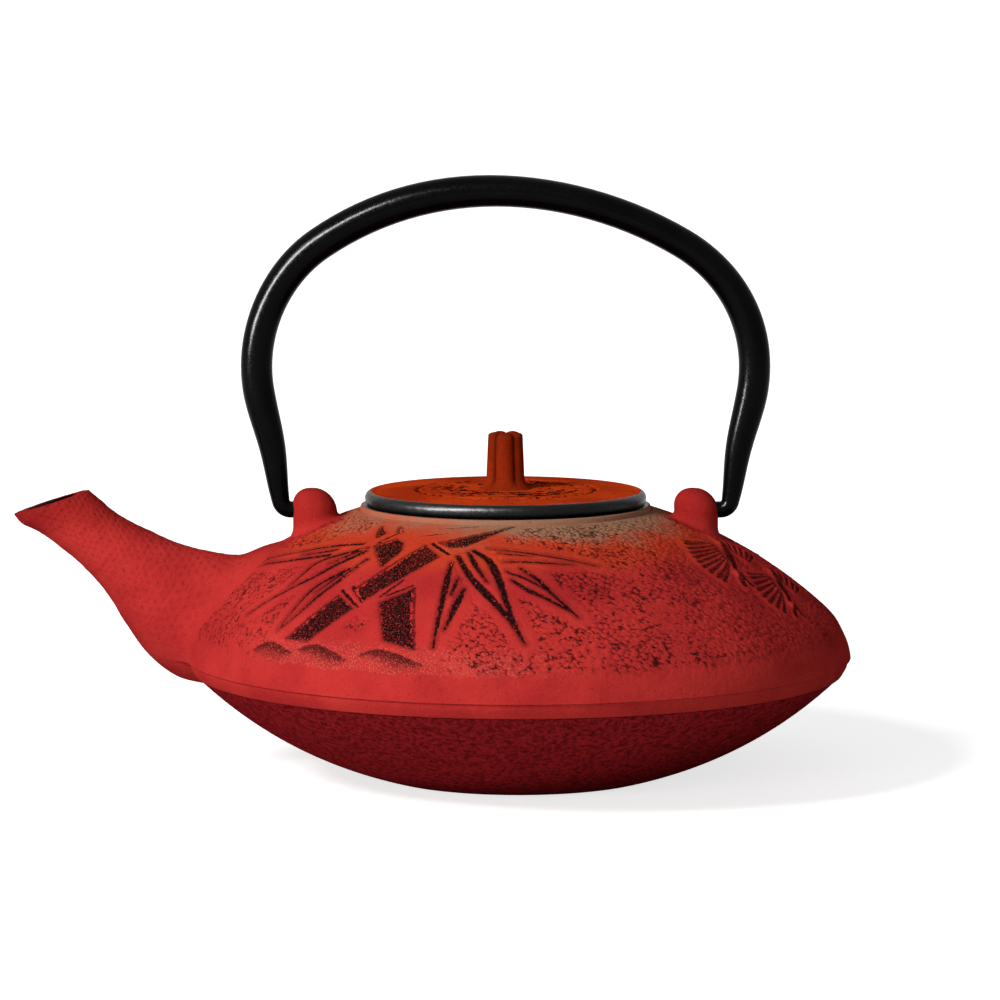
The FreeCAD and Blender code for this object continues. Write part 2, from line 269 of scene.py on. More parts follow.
def redIron():
    # red enamel on cast iron, sand-coloured towards the mouth, dark in the hollows (black ink and patina, with
    # painted shade along the band's creases and under the mound crests) and darker under the belly, partly a stain
    # and partly painted shade
    material, tree, shader, place, grain = startIron("red_iron")
    apart = addNode(tree, "SeparateXYZ", None, Vector=place).outputs
    offset, reach = fromMouth(tree, place)
    uneven = sums(tree, "ADD", reach, ramp(tree, grain["Mottle"], 0.3, 0.7, -0.005, 0.005))
    red = mixed(tree, ramp(tree, grain["Mottle"], 0.35, 0.68), srgb(190, 51, 47), srgb(170, 41, 41))
    orange = mixed(tree, ramp(tree, uneven, 0.07, 0.046), red, srgb(196, 62, 36))
    sandShare = times(tree, ramp(tree, uneven, 0.051, 0.037), ramp(tree, apart["X"], -0.06, 0.0, 0.45, 0.95))
    sandy = mixed(tree, sandShare, orange, srgb(156, 116, 90))
    # not on the ears nor on the spout
    aside = sums(tree, "ABSOLUTE", part(tree, offset, "X"), 0.0)
    across = sums(tree, "ABSOLUTE", apart["Y"], 0.0)
    nearEar = times(tree, ramp(tree, aside, 0.038, 0.044), ramp(tree, across, 0.014, 0.008))
    above = times(tree, ramp(tree, apart["Z"], 0.056, 0.061), ramp(tree, nearEar, 1.0, 0.0))
    low = sums(tree, "MAXIMUM", ramp(tree, apart["Z"], 0.0695, 0.0675), ramp(tree, reach, 0.0415, 0.0395))
    above = times(tree, above, low)
    red = mixed(tree, ramp(tree, apart["Z"], 0.061, 0.068, 0.0, 0.5), red, srgb(140, 28, 24))
    colour = mixed(tree, above, red, sandy)
    # the bowl is darker, partly a stain and partly painted shade under the belly, with small black grains
    bowlShare = attribute(tree, "stain_and_shade")
    blotch = noiseAt(tree, place, 750.0, 4.0, 0.7)
    stain_and_shade = mixed(tree, ramp(tree, blotch, 0.36, 0.62), srgb(102, 19, 23), srgb(166, 35, 41))
    colour = mixed(tree, bowlShare, colour, stain_and_shade)
    # dark and pale dust over all, more of the pale where the surface is rubbed
    colour = mixed(tree, ramp(tree, grain["Specks"], 0.42, 0.30, 0.0, 0.5), colour, srgb(92, 14, 14))
    wear = attribute(tree, "wear")
    pale = ramp(tree, sums(tree, "ADD", grain["Dust"], times(tree, wear, 0.15)), 0.6, 0.82, 0.0, 0.6)
    colour = mixed(tree, pale, colour, srgb(206, 100, 86))
    # black ink in the drawn grooves and patina in the pits, with painted shade along the band's creases
    ink_and_shade = attribute(tree, "ink_and_shade")
    # rough dark grain, which also holds painted shade under the mound crests
    rough = attribute(tree, "rough")
    worn = ramp(tree, sums(tree, "ADD", grain["Specks"], times(tree, ink_and_shade, 0.36)), 0.55, 0.85)
    specks = times(tree, rough, ramp(tree, grain["Dust"], 0.71, 0.5))
    dark = sums(tree, "MAXIMUM", times(tree, ink_and_shade, worn), specks)
    colour = mixed(tree, dark, colour, srgb(30, 15, 16))
    # staggered rows of small dimples on the spout
    dimpled = attribute(tree, "dimple")
    along = attribute(tree, "along")
    around = attribute(tree, "around")
    along = sums(tree, "ADD", along, ramp(tree, noiseAt(tree, place, 260.0, 2.0), 0.2, 0.8, -0.35, 0.35))
    stagger = times(tree, addNode(tree, "Math", {"operation": "FLOOR"}, i0=along).outputs[0], 0.5)
    first = sums(tree, "SUBTRACT", sums(tree, "FRACT", along, 0.0), 0.5)
    second = sums(tree, "SUBTRACT", sums(tree, "FRACT", sums(tree, "ADD", around, stagger), 0.0), 0.5)
    spot = addNode(tree, "CombineXYZ", None, X=first, Y=second).outputs[0]
    cells = addNode(tree, "VectorMath", {"operation": "LENGTH"}, i0=spot).outputs["Value"]
    dots = times(tree, dimpled, ramp(tree, cells, 0.42, 0.1))
    shade = times(tree, dots, ramp(tree, grain["Specks"], 0.35, 0.6, 0.26, 0.06))
    colour = mixed(tree, shade, colour, srgb(96, 16, 20))
    setInputs(tree, shader, Base_Color=colour, Roughness=ramp(tree, grain["Specks"], 0.3, 0.7, 0.5, 0.68),
              Specular_IOR_Level=0.0)
    bumped(tree, shader, sums(tree, "SUBTRACT", grain["Height"], times(tree, dots, 0.8)), 0.6, 0.0002)
    return material


def blackIron(name, rough, shine, grit):
    # satin black lacquer over iron, grit is the depth of its grain
    material, tree, shader, place, grain = startIron(name)
    colour = mixed(tree, ramp(tree, grain["Mottle"], 0.35, 0.7), srgb(2, 2, 2), srgb(5, 5, 6))
    uneven = ramp(tree, grain["Specks"], 0.3, 0.7, rough - 0.05, rough + 0.06)
    setInputs(tree, shader, Base_Color=colour, Roughness=uneven, Specular_IOR_Level=shine)
    bumped(tree, shader, grain["Height"], 0.5, grit)
    return material


def orangeIron(name, speckled):
    # rust-orange rubbed colour, over black grain where speckled
    material, tree, shader, place, grain = startIron(name)
    coarse = noiseAt(tree, place, 700.0, 4.0, 0.7)
    first, second = ((214, 70, 24), (182, 53, 20)) if speckled else ((152, 45, 14), (122, 34, 11))
    colour = mixed(tree, ramp(tree, grain["Mottle"], 0.35, 0.65), srgb(*first), srgb(*second))
    if speckled:
        # dark grain lies in rings round the knob, partly patina and, stronger on the knob's right, partly a painted
        # shadow of the knob
        offset, reach = fromMouth(tree, place)
        ring = times(tree, ramp(tree, reach, 0.007, 0.011), ramp(tree, reach, 0.024, 0.017))
        patch = noiseAt(tree, place, 130.0, 3.0)
        turns = sums(tree, "SINE", times(tree, reach, 2 * math.pi / 0.0035), 0.0)
        patch = sums(tree, "ADD", patch, times(tree, turns, 0.12))
        amount = times(tree, ring, ramp(tree, patch, 0.42, 0.62, 0.1, 1.0))
        # painted shadow of the knob: more dark grain to its right
        amount = times(tree, amount, ramp(tree, part(tree, offset, "X"), -0.02, 0.008, 0.62, 1.1))
        fromGroove = sums(tree, "ABSOLUTE", sums(tree, "SUBTRACT", reach, 0.0228), 0.0)
        amount = sums(tree, "MAXIMUM", amount, ramp(tree, fromGroove, 0.0009, 0.0003, 0.0, 0.75))
        dark = ramp(tree, sums(tree, "SUBTRACT", coarse, times(tree, amount, 0.2)), 0.40, 0.33)
    else:
        # on the knob this darkens the flute valleys with painted shade
        groove = attribute(tree, "ink_and_shade")
        dark = sums(tree, "MAXIMUM", ramp(tree, coarse, 0.34, 0.28, 0.0, 0.6), groove)
    colour = mixed(tree, ramp(tree, grain["Specks"], 0.5, 0.32, 0.0, 0.45), colour, srgb(96, 26, 8))
    colour = mixed(tree, dark, colour, srgb(36, 13, 8))
    setInputs(tree, shader, Base_Color=colour, Roughness=0.62, Specular_IOR_Level=0.0)
    bumped(tree, shader, coarse, 0.4, 0.0002)
    return material


def brushedSteel():
    material, tree, shader = startMaterial("brushed_steel")
    place = addNode(tree, "TexCoord").outputs["Object"]
    stretched = addNode(tree, "Mapping", None, Vector=place, Scale=(1, 1, 12)).outputs[0]
    lines = noiseAt(tree, stretched, 400.0, 3.0)
    colour = mixed(tree, ramp(tree, lines, 0.3, 0.7), srgb(186, 188, 190), srgb(208, 209, 210))
    setInputs(tree, shader, Base_Color=colour, Roughness=ramp(tree, lines, 0.3, 0.7, 0.26, 0.4), Metallic=1.0)
    bumped(tree, shader, lines, 0.15, 0.00005)
    return material


redMaterial = redIron()
blackEnamel = blackIron("black_enamel", 0.36, 0.1, 0.00013)
handleBlack = blackIron("handle_black", 0.19, 0.03, 0.00003)
orangeMaterial = orangeIron("orange_iron", True)
knobOrange = orangeIron("knob_iron", False)
steelMaterial = brushedSteel()
print("materials made")


# Casting: a turned body with the spout and the ears run into it

casting = {
    "bellyRadius": 85.2, "bellyX": 0.45, "partingHeight": 30.5,
    "bellyCurve": 20.0, "bellySlope": 84.0,
    "shoulderSlope": 46.0, "shoulderCurve": 96.0,
    "wall": 3.7, "skirt": 8.0,           # skirt: how far the rough body runs below the parting line
    "cell": 0.7, "rounds": 4,            # size of the faces, and how often they are drawn to the form
    "spoutBlend": 4.2, "earBlend": 2.2,  # softness of the joins
    "collarRadius": 37.2,
}
bellyRadius, partingZ = casting["bellyRadius"], casting["partingHeight"]
bellyCentre = polar((bellyRadius, partingZ), -casting["bellyCurve"], casting["bellySlope"])
shoulderBreak = polar(bellyCentre, casting["bellyCurve"], casting["shoulderSlope"])
shoulderCentre = polar(shoulderBreak, -casting["shoulderCurve"], casting["shoulderSlope"])

spout = {
    # each row: top line out from the belly and up from the parting line, under line the same, width
    "rows": [
        (-40.0, 12.0, -18.0, -9.0, 46.0), (-25.0, 26.5, -5.0, -7.4, 40.0), (-14.5, 25.5, 2.5, -5.3, 34.0),
        (-6.5, 26.5, 9.5, 0.3, 28.5), (1.2, 28.5, 15.0, 8.0, 23.5), (8.9, 31.9, 19.8, 15.8, 19.5),
        (16.6, 36.0, 25.6, 22.5, 16.6), (23.7, 41.8, 32.4, 28.3, 15.0), (27.0, 45.0, 37.4, 31.8, 15.0),
        (30.0, 48.4, 41.5, 33.8, 15.0), (33.5, 52.4, 44.6, 37.8, 15.0),
    ],
    "wall": 3.0, "sides": 64, "between": 8,
    "lipOut": 43.2, "lipUp": 36.3, "lipRise": 17.7,
    "rootX": -38, "near": 12, "far": 40.0,            # where its distance is taken
    "endX": -100, "dimple": 1.8, "dimplesRound": 30,  # its end starts at endX
}
ears = {"gap": 6.0, "length": 11.2, "radius": 5.6, "edge": 5.2, "lean": 0.15}
earReach = casting["collarRadius"] + ears["gap"] + ears["length"] / 2


def axisShift(height):
    # the shoulder's axis drifts from the belly's to the mouth's
    return casting["bellyX"] + (mouthX - casting["bellyX"]) * smooth(partingZ, seatZ - 3, height)


def roughBody():
    low = partingZ - casting["skirt"]
    edge = (bellyRadius, partingZ)
    profile = [(0.0, low), (bellyRadius - 1, low), edge]
    profile += arcPoints(bellyCentre, casting["bellyCurve"], casting["bellySlope"], casting["shoulderSlope"], 16)[1:]
    profile += arcPoints(shoulderCentre, casting["shoulderCurve"], casting["shoulderSlope"], 0, 40)[1:]
    profile = [p for p in profile if p[0] > shoulderCentre[0] + 5 or p[1] == low]
    profile.append((0.0, profile[-1][1]))
    bm = spun(profile)
    for vert in bm.verts:
        vert.co.x += axisShift(vert.co.z / mm) * mm
    return bm


def spoutRow(place):
    # smooth run through the rows, place counts rows
    i = min(int(place), len(spout["rows"]) - 2)
    return softPoint(np.array(spout["rows"]), i, place - i)


def spoutTube(inset):
    # closed tube, drawn in by the wall for the channel
    bm = bmesh.new()
    count = (len(spout["rows"]) - 1) * spout["between"]
    rings = []
    for step in range(count + 1):
        topOut, topUp, underOut, underUp, width = spoutRow(step / spout["between"])
        top = Vector((-bellyRadius - topOut, 0, partingZ + topUp))
        under = Vector((-bellyRadius - underOut, 0, partingZ + underUp))
        up = (top - under).normalized()
        ring = bmesh.ops.create_circle(bm, segments=spout["sides"], radius=1.0)["verts"]
        for vert in ring:
            across, along = vert.co.x, vert.co.y
            place = (top + under) / 2 + Vector((0, across * (width / 2 - inset), 0))
            vert.co = (place + up * along * ((top - under).length / 2 - inset)) * mm
        rings.append(ring)
    return joinRings(bm, rings)


def roughEar(side):
    # ball on a short post
    bm = bmesh.new()
    across = Matrix.Diagonal((ears["length"] / 2 - 0.5, ears["radius"] - 0.5, ears["radius"] - 0.5, 1))
    centre = Vector((mouthX + side * earReach, 0, hingeZ))
    ball = bmesh.ops.create_uvsphere(bm, u_segments=24, v_segments=16, radius=1.0)["verts"]
    post = bmesh.ops.create_cone(bm, segments=24, radius1=1.0, radius2=1.0, depth=3.0, cap_ends=True)["verts"]
    bmesh.ops.translate(bm, vec=(0, 0, -1.5), verts=post)
    bmesh.ops.transform(bm, verts=ball + post, matrix=Matrix.Scale(mm, 4) @ Matrix.Translation(centre) @ across)
    return bm


def bodyGap(p):
    # distance outside the turned body, in millimetres
    r = np.hypot(p[:, 0] - axisShift(p[:, 2]), p[:, 1])
    lean = np.degrees(np.arctan2(r - shoulderCentre[0], p[:, 2] - shoulderCentre[1]))
    onShoulder = np.hypot(r - shoulderCentre[0], p[:, 2] - shoulderCentre[1]) - casting["shoulderCurve"]
    onBelly = np.hypot(r - bellyCentre[0], p[:, 2] - bellyCentre[1]) - casting["bellyCurve"]
    return np.where(lean < casting["shoulderSlope"], onShoulder, onBelly)


def earGap(p, side):
    # distance outside an ear: round top about the hinge line, straight sides, rounded ends
    across = np.hypot(p[:, 1], np.maximum(p[:, 2] - hingeZ, 0)) - ears["radius"] + ears["edge"]
    leaned = p[:, 0] + ears["lean"] * np.maximum(p[:, 2] - hingeZ, 0)
    along = np.abs(leaned - mouthX - side * earReach) - ears["length"] / 2 + ears["edge"]
    outside = np.hypot(np.maximum(across, 0), np.maximum(along, 0))
    return outside + np.minimum(np.maximum(across, along), 0) - ears["edge"]


def spoutGap(tree, p):
    # distance outside the spout, points that aren't near it count as far
    gaps = np.full(len(p), spout["far"])
    for i in np.nonzero(p[:, 0] < spout["rootX"])[0]:
        place, normal, _, _ = tree.find_nearest(Vector(p[i]) * mm)
        away = Vector(p[i]) * mm - place
        if away.length < spout["near"] * mm:
            gaps[i] = math.copysign(away.length, away.dot(normal)) / mm
    return gaps


def runTogether(a, b, blend):
    # the nearer of two distances, rounded where they meet
    share = np.maximum(blend - np.abs(a - b), 0) / blend
    return np.minimum(a, b) - share * share * blend / 4


def meshPoints(mesh, layer="vertices", name="co"):
    values = np.zeros(len(getattr(mesh, layer)) * 3)
    getattr(mesh, layer).foreach_get(name, values)
    return values.reshape(-1, 3)


def castingSkin():
    # one skin over body, spout and ears, with soft joins
    joined = bmesh.new()
    tube = spoutTube(0.0)
    spoutTree = BVHTree.FromBMesh(tube)
    for form in (roughBody(), tube, roughEar(-1), roughEar(1)):
        addMesh(joined, form)
    mesh = meshOf(joined, "casting_rough")
    rough = bpy.data.objects.new("casting_rough", mesh)
    scene.collection.objects.link(rough)
    modifier = rough.modifiers.new("skin", "REMESH")
    modifier.mode = "VOXEL"
    modifier.voxel_size = casting["cell"] * mm
    bpy.context.view_layer.update()
    skin = bpy.data.meshes.new_from_object(rough.evaluated_get(bpy.context.evaluated_depsgraph_get()))
    bpy.data.objects.remove(rough)
    bpy.data.meshes.remove(mesh)
    for _ in range(casting["rounds"]):
        p = meshPoints(skin) / mm
        normals = meshPoints(skin, "vertex_normals", "vector")
        gap = runTogether(bodyGap(p), spoutGap(spoutTree, p), casting["spoutBlend"])
        for side in (-1, 1):
            gap = runTogether(gap, earGap(p, side), casting["earBlend"])
        above = p[:, 2] > partingZ - 3
        p[above] -= (np.clip(gap, -1.5, 1.5)[:, None] * normals)[above]
        skin.vertices.foreach_set("co", (p * mm).ravel())
        skin.update()
    print("casting skin", len(skin.polygons), "faces")
    return skin


# Bowl under the parting line, with its smooth band and flat foot
bowl = {"footRadius": 36.0, "bulge": 3.5, "floor": 4.2, "bandHeight": 3.9, "bandSlope": 1.4, "bandStep": 0.5}


def bowlProfile():
    bandTop = (bellyRadius - bowl["bandStep"], partingZ)
    bandLow = (bandTop[0] - bowl["bandSlope"], partingZ - bowl["bandHeight"])
    bowlTop = (bandLow[0] - bowl["bandStep"], bandLow[1])
    outline = [(0.0, 0.0), (bowl["footRadius"] * 0.5, 0.0)]
    outline += bulgedPoints((bowl["footRadius"], 0.0), bowlTop, bowl["bulge"], 40)
    outline[-1] = (bowlTop[0] - 0.5, bowlTop[1] - 0.35)
    return outline + [
        (bowlTop[0] - 0.1, bowlTop[1] - 0.05), (bandLow[0] - 0.15, bandLow[1] + 0.05), (bandLow[0], bandLow[1] + 0.3),
        ((bandLow[0] + bandTop[0]) / 2 + 0.25, (bandLow[1] + bandTop[1]) / 2), (bandTop[0], partingZ - 0.45), bandTop,
        (bandTop[0] - 3.0, partingZ),
    ]


bm = spun(bowlProfile(), casting["bellyX"])
stainShadeLayer = bm.verts.layers.float.new("stain_and_shade")
inkAndShadeLayer = bm.verts.layers.float.new("ink_and_shade")
bandLow = partingZ - bowl["bandHeight"]
for vert in bm.verts:
    height = vert.co.z / mm
    # below the band the bowl takes the darker colour, partly a stain and partly painted shade
    vert[stainShadeLayer] = float(height < bandLow + 0.1)
    # painted shade: dark lines along the crease at the band's lower edge and under the parting line's overhang
    vert[inkAndShadeLayer] = 0.85 * float(abs(height - bandLow) < 0.2 or height > partingZ - 0.1)
makePiece("pot_bowl", bm, [redMaterial], "pot", ["pot_body"])

# Mouth: collar, flat seat for the lid, ledge for the infuser and bore
mouth = {"bore": 29.6, "ledgeWidth": 2.2, "ledgeDepth": 2.2, "chamfer": 0.6, "low": 62.0}


def mouthRing():
    ledge = mouth["bore"] + mouth["ledgeWidth"]
    outer, chamfer = casting["collarRadius"], mouth["chamfer"]
    bm = spun([
        (outer, mouth["low"]), (outer, seatZ - chamfer), (outer - chamfer * 0.3, seatZ - chamfer * 0.3),
        (outer - chamfer, seatZ), (ledge + 0.25, seatZ), (ledge, seatZ - 0.25),
        (ledge, seatZ - mouth["ledgeDepth"]), (mouth["bore"] + 0.25, seatZ - mouth["ledgeDepth"]),
        (mouth["bore"], seatZ - mouth["ledgeDepth"] - 0.25), (mouth["bore"], mouth["low"]),
    ], mouthX, closed=True)
    for face in bm.faces:
        centre = face.calc_center_median() / mm
        face.material_index = int(math.hypot(centre.x - mouthX, centre.y) < outer - chamfer)
    return bm


makePiece("pot_mouth", mouthRing(), [redMaterial, blackEnamel], "pot", ["pot_body"])

# Enamelled inside
inside = {"innerShoulder": 80.0, "spoutX": -45, "spoutHalf": 34}


def insideSkin():
    wall = casting["wall"]
    bend = casting["bellyCurve"] - wall
    innerBreak = polar(bellyCentre, bend, casting["shoulderSlope"])
    innerCentre = polar(innerBreak, -inside["innerShoulder"], casting["shoulderSlope"])
    neckLean = math.degrees(math.asin((mouth["bore"] - innerCentre[0]) / inside["innerShoulder"]))
    profile = arcPoints(innerCentre, inside["innerShoulder"], neckLean, casting["shoulderSlope"], 24)
    profile += arcPoints(bellyCentre, bend, casting["shoulderSlope"], casting["bellySlope"], 10)[1:]
    profile += bulgedPoints((bowl["footRadius"], bowl["floor"]), profile[-1], bowl["bulge"], 24)[::-1][1:]
    profile += [(bowl["footRadius"] * 0.5, bowl["floor"]), (0.0, bowl["floor"])]
    bm = spun(profile, steps=128)
    for vert in bm.verts:
        vert.co.x += axisShift(vert.co.z / mm) * mm
    lowest = min(bm.faces, key=lambda f: f.calc_center_median().z)
    if lowest.normal.z > 0:
        bmesh.ops.reverse_faces(bm, faces=bm.faces)
    return bm


def facesInside(bm, tree, depth):
    # faces that lie deeper than this inside a closed mesh
    found = []
    for face in bm.faces:
        centre = face.calc_center_median()
        place, normal, _, away = tree.find_nearest(centre)
        if away < 25 * mm and (centre - place).dot(normal) < -depth * mm:
            found.append(face)
    return found


# the spout's channel opens through the wall
bm = insideSkin()
cavityTree = BVHTree.FromBMesh(bm)
centres = {f: f.calc_center_median() / mm for f in bm.faces}
nearSpout = [f for f, at in centres.items() if at.x < inside["spoutX"] and abs(at.y) < inside["spoutHalf"]]
bmesh.ops.subdivide_edges(bm, edges=list({e for f in nearSpout for e in f.edges}), cuts=3, use_grid_fill=True)
tube = spoutTube(spout["wall"])
bmesh.ops.delete(bm, geom=facesInside(bm, BVHTree.FromBMesh(tube), 0.0), context="FACES")
tube.free()
bmesh.ops.reverse_faces(bm, faces=bm.faces)
makePiece("pot_inside", bm, [blackEnamel], "pot", ["pot_body"])

# Upper casting, cut out of the skin
skin = castingSkin()
bm = bmesh.new()
bm.from_mesh(skin)
bpy.data.meshes.remove(skin)


def cutParting(bm, side):
    # flat cut at the parting line, what lies above (1) or below (-1) goes
    bmesh.ops.bisect_plane(bm, geom=bm.verts[:] + bm.edges[:] + bm.faces[:], dist=0.01 * mm,
                           plane_co=(0, 0, partingZ * mm), plane_no=(0, 0, side), clear_outer=True)


def cutPouringEdge(bm):
    lip = Vector((-bellyRadius - spout["lipOut"], 0, partingZ + spout["lipUp"])) * mm
    rise = math.radians(spout["lipRise"])
    faces = [f for f in bm.faces if f.calc_center_median().x < spout["endX"] * mm]
    around = list({v for f in faces for v in f.verts}) + list({e for f in faces for e in f.edges}) + faces
    bmesh.ops.bisect_plane(bm, geom=around, dist=0.01 * mm, plane_co=lip,
                           plane_no=(-math.sin(rise), 0, math.cos(rise)), clear_outer=True)


cutParting(bm, -1)
cutPouringEdge(bm)
# open the mouth under the collar
inMouth = [f for f in bm.faces
           if math.hypot(f.calc_center_median().x - mouthX * mm, f.calc_center_median().y)
           < (casting["collarRadius"] - 1.5) * mm]
bmesh.ops.delete(bm, geom=inMouth, context="FACES")


# close the edge at the parting line, then give the lip its thickness and the channel its wall
openEdges = [e for e in bm.edges if e.is_boundary and abs(e.verts[0].co.z / mm - partingZ) < 0.05]
made = bmesh.ops.extrude_edge_only(bm, edges=openEdges)["geom"]
bmesh.ops.scale(bm, vec=(0.96, 0.96, 1.0), verts=[v for v in made if isinstance(v, bmesh.types.BMVert)])
channel = spoutTube(spout["wall"])
bmesh.ops.delete(channel, geom=[f for f in channel.faces if len(f.verts) > 4], context="FACES")
cutPouringEdge(channel)
bmesh.ops.delete(channel, geom=facesInside(channel, cavityTree, 0.7), context="FACES")
bmesh.ops.reverse_faces(channel, faces=channel.faces)
for face in channel.faces:
    face.material_index = 1
addMesh(bm, channel)
rims = [e for e in bm.edges
        if e.is_boundary and e.verts[0].co.x < spout["endX"] * mm and e.verts[0].co.z > 55 * mm]
for face in bmesh.ops.bridge_loops(bm, edges=rims)["faces"]:
    face.material_index = 0
bmesh.ops.recalc_face_normals(bm, faces=bm.faces)
shoulderTree = BVHTree.FromBMesh(bm)
tube = spoutTube(0.0)
spoutTree = BVHTree.FromBMesh(tube)
tube.free()

# Relief of the shoulder: bamboo in front and behind, birds at the right, pitted ground between

ornament = {
    # leaves: two edge lines and a rib, points as (degrees from the front, radius),
    # then half widths at start, middle and end
    "leaves": [
        ([(-45, 50), (-56, 53), (-68, 58), (-85, 65.5)], [(-52, 56), (-58, 58), (-67, 61), (-80, 65)],
         [(-51, 54), (-62, 58)], (0.6, 0.52, 0.15)),
        ([(-42, 51.5), (-52, 58), (-53.5, 63), (-54, 67)],
         [(-41, 53), (-46, 59), (-49, 63.5), (-56, 71), (-60, 76)],
         [(-43, 53), (-48, 59)], (0.8, 0.6, 0.15)),
        ([(-41, 60), (-45.5, 65.5), (-47, 70.5), (-48, 78)],
         [(-38, 56), (-40.5, 63), (-43, 68), (-45.5, 74), (-48, 78)],
         [(-41.5, 62), (-44.5, 68)], (0.75, 0.6, 0.15)),
        ([(-14, 55), (-14, 66), (-14.5, 79)], [(-9.7, 64), (-11.4, 70), (-12.8, 75)],
         [(-11.4, 61), (-12.4, 66)], (0.5, 0.95, 0.3)),
        ([(-13, 52.5), (-8, 61), (-3.7, 67), (-0.4, 72.5), (1.8, 78)],
         [(-9.3, 50), (-4.6, 54), (-2, 61), (-0.3, 70), (0.8, 74)],
         [(-10.4, 51), (-7.3, 57), (-4.6, 62)], (0.6, 1.1, 0.35)),
        ([(3.4, 57), (7, 61), (9.3, 65.5), (13, 72)], [(1, 61), (4, 64), (8, 67), (12.5, 71)],
         [(0, 58), (5, 61.5), (8, 64)], (0.4, 0.65, 0.3)),
        ([(-5, 49), (6, 51), (16, 54), (23, 57)], [(-0.5, 54.5), (6, 54.6), (17, 56)],
         [(-2, 51.5), (7, 52.6)], (0.15, 0.4, 0.15)),
    ],
    # stems: corners of the dark rough lengths, each starting with its darkest edge
    "stems": [
        [(-44.7, 79.5), (-38, 68), (-33, 71), (-39.6, 79.6)],
        [(-35, 66), (-24, 48.5), (-18, 53), (-31.6, 69)],
        [(-20, 47), (3, 38), (-3, 41.6), (-12, 48.4), (-16, 49)],
        [(-21, 64.4), (-18, 79.5), (-24, 78), (-27.5, 69)],
        [(-40, 50.4), (-35.7, 46.6), (-31.7, 48), (-30, 51.5), (-32, 58), (-34.4, 55.6)],
        [(-43, 46.5), (-48, 41.5), (-42, 44.5)],
        [(-38, 43), (-40, 40.5), (-36, 43.5)],
    ],
    # single lines: stem joints and fine grass
    "lines": [
        ([(-38, 66.5), (-32, 70.5)], (0.4, 0.45, 0.4)), ([(-36, 65), (-31.6, 69)], (0.4, 0.45, 0.4)),
        ([(-22.4, 47.5), (-15.6, 52)], (0.4, 0.5, 0.4)), ([(-28, 67.4), (-24.4, 62)], (0.3, 0.45, 0.4)),
        ([(-26.7, 67), (-21.5, 63.4)], (0.3, 0.45, 0.3)), ([(-40.5, 49), (-36.7, 42.7)], (0.3, 0.45, 0.3)),
        ([(-28.5, 44.5), (-19, 42)], (0.1, 0.25, 0.1)), ([(-24, 40), (-10, 38)], (0.1, 0.2, 0.1)),
    ],
    # mounds: crest of each, with painted shade under the crest
    "mounds": [
        [(-52, 82.4), (-48, 80.8), (-42, 82)], [(-41, 81.4), (-37, 80.3), (-30, 82.2)],
        [(-28, 81.4), (-24, 80.2), (-16, 82.2)],
    ],
    # birds: roots and tips of a wing's feathers, number of feathers; then bodies, necks and tails
    "wings": [
        ([(70, 54.5), (67, 58), (64, 61.5)], [(60, 51.5), (55.5, 56), (53, 61), (54, 66)], 9),
        ([(73, 57), (74.5, 60), (74, 63)], [(80, 53.5), (84, 57.5), (83, 62.5)], 6),
        ([(73.5, 67.5), (71, 70), (69, 72.5)], [(66, 65.5), (62.5, 69), (61, 73), (62.5, 76)], 7),
        ([(76, 69), (77, 71), (76.5, 73.5)], [(81.5, 66.5), (84.5, 69.5), (83.5, 73)], 5),
    ],
    "bodies": [
        ([(61.5, 65), (66, 61.5), (71.5, 58.5), (75, 56)], (0.4, 1.5, 0.6)),
        ([(75, 56), (77, 54), (78, 52)], (0.5, 0.4, 0.2)),
        ([(61.5, 65), (59, 68)], (0.5, 0.7, 0.9)), ([(61.5, 65), (61.5, 68.5)], (0.5, 0.7, 0.8)),
        ([(67.5, 75.5), (71.5, 72.5), (76.5, 69), (78.5, 67.5)], (0.4, 1.3, 0.5)),
        ([(78.5, 67.5), (80, 66), (80.5, 64.5)], (0.4, 0.35, 0.2)),
        ([(67.5, 75.5), (65, 77.5)], (0.4, 0.6, 0.8)), ([(67.5, 75.5), (68, 78)], (0.4, 0.6, 0.7)),
    ],
}
relief = {"base": 0.28, "leaf": 0.3, "mound": 0.3, "feather": 0.16, "bird": 0.3, "groove": 0.24,
          "grain": 0.16, "pit": 0.25, "pebble": 1.5, "low": 37.6, "high": 84.6, "rows": 190}


def arcHeight(centre, curve, radius):
    return centre[1] + np.sqrt(np.maximum(curve ** 2 - (radius - centre[0]) ** 2, 0))


def shoulderPlace(degrees, radius):
    turn = np.radians(degrees)
    height = np.where(radius < shoulderBreak[0], arcHeight(shoulderCentre, casting["shoulderCurve"], radius),
                      arcHeight(bellyCentre, casting["bellyCurve"], radius))
    return np.stack([radius * np.sin(turn) + axisShift(height), -radius * np.cos(turn), height], 1)


def softLine(points, between=6):
    # smooth run through a few given points
    rows = np.array(points, float)
    line = [softPoint(rows, i, t) for i in range(len(rows) - 1) for t in np.arange(between) / between]
    return np.array(line + [rows[-1]])


